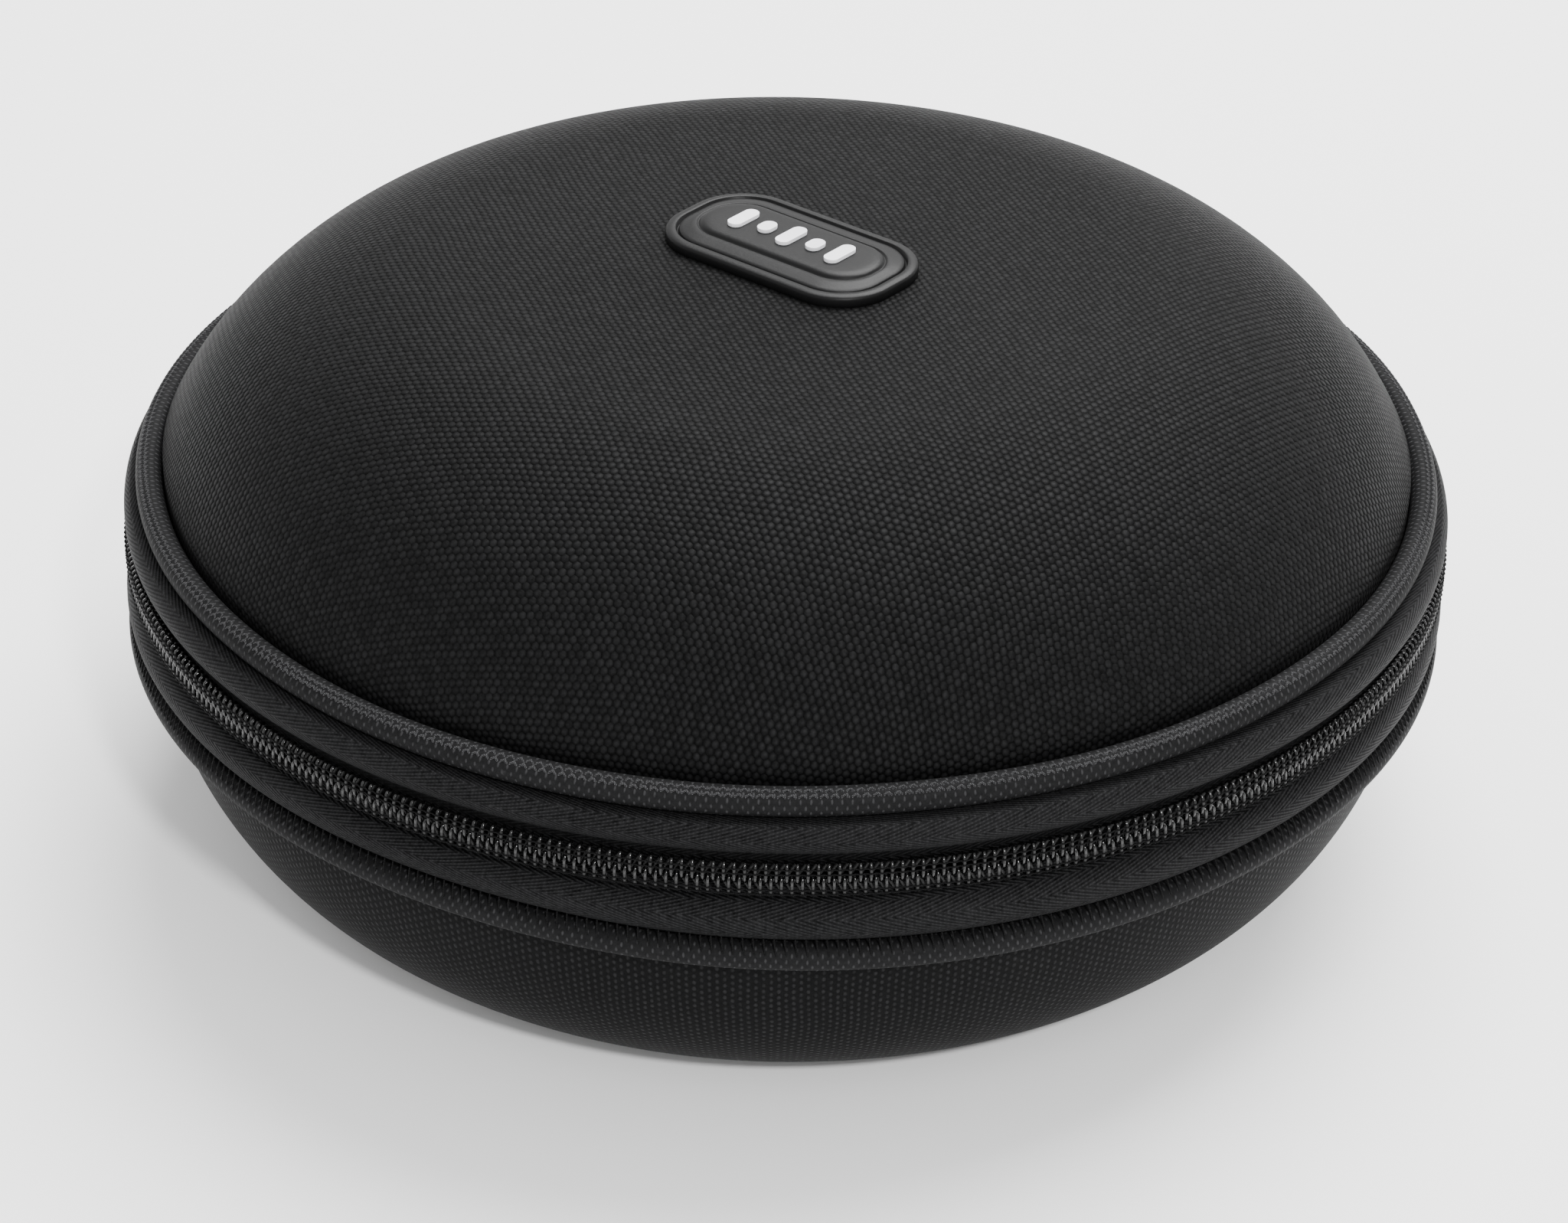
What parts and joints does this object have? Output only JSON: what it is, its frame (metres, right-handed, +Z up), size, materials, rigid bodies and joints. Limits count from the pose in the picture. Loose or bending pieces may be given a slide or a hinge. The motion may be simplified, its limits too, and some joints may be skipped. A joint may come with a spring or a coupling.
{
  "type": "headphone carrying case",
  "caption": "Round padded zip case: domed lid and bowl base in black woven fabric over moulded foam, piped rims, coil zip with two sliders, fabric hinge.",
  "frame": {"origin": "centre of the flat bottom of the base, on the surface it rests on", "axes": "+Z up through the lid's badge, -Y towards the front, +Y towards the fabric hinge, +X to the right seen from the front"},
  "size_m": [0.2262, 0.2208, 0.1024],
  "materials": {
    "cover_fabric": "coarse ballistic weave, near black",
    "piping_fabric": "bias-cut weave over a cord, near black",
    "piping_cord": "plain round filler cord",
    "eva_foam": "moulded closed-cell foam",
    "lining_fabric": "brushed tricot, black",
    "tape_fabric": "herringbone twill zip tape",
    "coil_nylon": "glossy black nylon coil",
    "binding_fabric": "grosgrain binding",
    "hinge_fabric": "coarse ballistic weave, near black",
    "badge_rubber": "satin moulded rubber",
    "badge_mark": "white moulded rubber",
    "zip_stop": "moulded nylon",
    "slider_metal": "black baked enamel on die-cast zinc",
    "pull_rubber": "soft moulded rubber"
  },
  "bodies": {
    "base": {"base_cover": "cover_fabric", "base_shell": "eva_foam", "base_lining": "lining_fabric", "base_piping_cover": "piping_fabric", "base_piping_cord": "piping_cord", "base_zip_tape": "tape_fabric", "base_zip_coil": "coil_nylon", "base_rim_binding": "binding_fabric", "base_hinge_panel": "hinge_fabric", "base_hinge_lining": "lining_fabric", "base_zip_stop_left": "zip_stop", "base_zip_stop_right": "zip_stop"},
    "lid": {"lid_cover": "cover_fabric", "lid_shell": "eva_foam", "lid_lining": "lining_fabric", "lid_piping_cover": "piping_fabric", "lid_piping_cord": "piping_cord", "lid_zip_tape": "tape_fabric", "lid_zip_coil": "coil_nylon", "lid_rim_binding": "binding_fabric", "lid_hinge_panel": "hinge_fabric", "lid_hinge_lining": "lining_fabric", "lid_zip_stop_left": "zip_stop", "lid_zip_stop_right": "zip_stop", "badge_base": "badge_rubber", "badge_pill": "badge_rubber", "badge_motif": "badge_mark"},
    "front_slider_body": {"front_slider": "slider_metal"},
    "rear_slider_body": {"rear_slider": "slider_metal"},
    "front_pull": {"front_pull_link": "slider_metal", "front_pull_grip": "pull_rubber"},
    "rear_pull": {"rear_pull_link": "slider_metal", "rear_pull_grip": "pull_rubber"}
  },
  "joints": [
    {"name": "lid_hinge", "type": "hinge", "parent": "base", "child": "lid", "pos_m": [0, 0.1115, 0.053], "axis": [-1, 0, 0], "range_deg": [0, 170]},
    {"name": "front_slider_run", "type": "hinge", "parent": "base", "child": "front_slider_body", "pos_m": [0, 0, 0.053], "axis": [0, 0, 1], "range_deg": [0, 245]},
    {"name": "rear_slider_run", "type": "hinge", "parent": "base", "child": "rear_slider_body", "pos_m": [0, 0, 0.053], "axis": [0, 0, -1], "range_deg": [0, 45]},
    {"name": "front_pull_swing", "type": "hinge", "parent": "front_slider_body", "child": "front_pull", "pos_m": [-0.11233, 0.01229, 0.053], "axis": [0, 0, -1], "range_deg": [0, 90]},
    {"name": "rear_pull_swing", "type": "hinge", "parent": "rear_slider_body", "child": "rear_pull", "pos_m": [-0.10976, 0.02687, 0.053], "axis": [0, 0, 1], "range_deg": [0, 90]}
  ]
}
